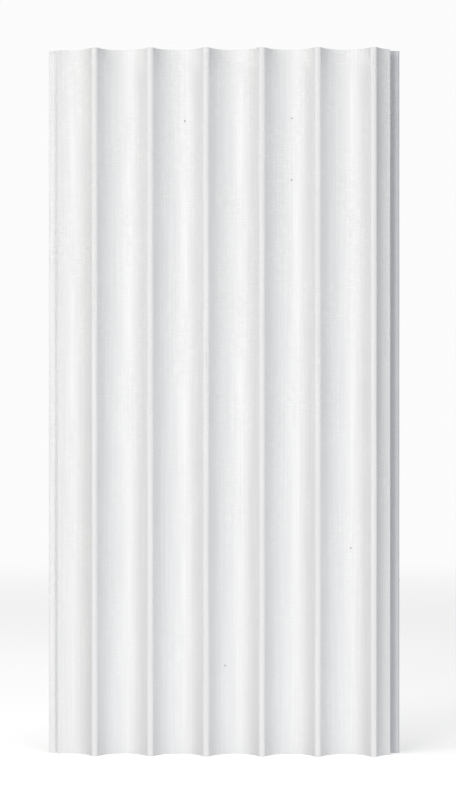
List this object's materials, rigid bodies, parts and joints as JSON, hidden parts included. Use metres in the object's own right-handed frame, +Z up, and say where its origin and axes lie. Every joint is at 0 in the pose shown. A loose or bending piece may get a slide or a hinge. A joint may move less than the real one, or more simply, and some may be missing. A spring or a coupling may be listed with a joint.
{
  "type": "fluted wall panel",
  "caption": "Square-cut length of fluted wall panel: narrow rounded ribs, hollow flutes, a tongue along one edge, a slot and flange along the other.",
  "frame": {"origin": "on the flat back where it lies on the wall, in the middle of the cover width and halfway up", "axes": "+Y out of the back into the wall, so the ribs face -Y; +Z up along the flutes; +X to the right as seen from the front"},
  "size_m": [0.1268, 0.012, 0.254],
  "materials": {
    "white_skin": "satin white film skin with a fine linen grain, on foamed polystyrene"
  },
  "bodies": {
    "root": {"fluted_panel": "white_skin"}
  },
  "joints": []
}
